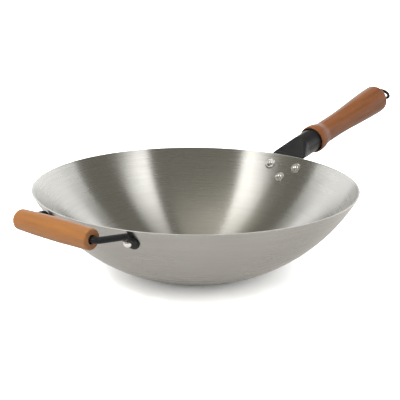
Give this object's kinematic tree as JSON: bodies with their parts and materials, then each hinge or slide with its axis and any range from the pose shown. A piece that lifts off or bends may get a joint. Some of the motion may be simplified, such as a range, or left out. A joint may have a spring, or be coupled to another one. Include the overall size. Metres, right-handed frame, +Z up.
{
  "type": "carbon steel wok",
  "caption": "Flat-based carbon steel wok with a long turned wooden grip on a riveted steel socket, a hanging eye, and a short wooden helper grip that turns on its rod bracket.",
  "frame": {"origin": "centre of the bowl's flat base, on the surface that it stands on", "axes": "+Z up along the bowl's axis, +X towards the long grip, the helper grip's axis along Y"},
  "size_m": [0.6388, 0.355, 0.1555],
  "materials": {
    "brushed_steel": "bare carbon steel, brushed round the bowl's axis",
    "black_steel": "satin black paint",
    "black_wire": "gloss black paint",
    "bright_steel": "polished",
    "grip_wood": "satin lacquer",
    "helper_wood": "satin lacquer"
  },
  "bodies": {
    "pan": {"bowl": "brushed_steel", "handle_socket": "black_steel", "handle_rivets": "bright_steel", "handle_rivet_rings": "bright_steel", "handle_grip": "grip_wood", "socket_nut": "bright_steel", "hanging_eye_bolt": "black_wire", "helper_bracket": "black_steel", "helper_rivets": "bright_steel", "helper_rivet_rings": "bright_steel"},
    "helper_barrel": {"helper_grip": "helper_wood"}
  },
  "joints": [
    {"name": "helper_grip_spin", "type": "hinge", "parent": "pan", "child": "helper_barrel", "pos_m": [-0.2094, 0, 0.0969], "axis": [0, 1, 0], "continuous": true}
  ]
}
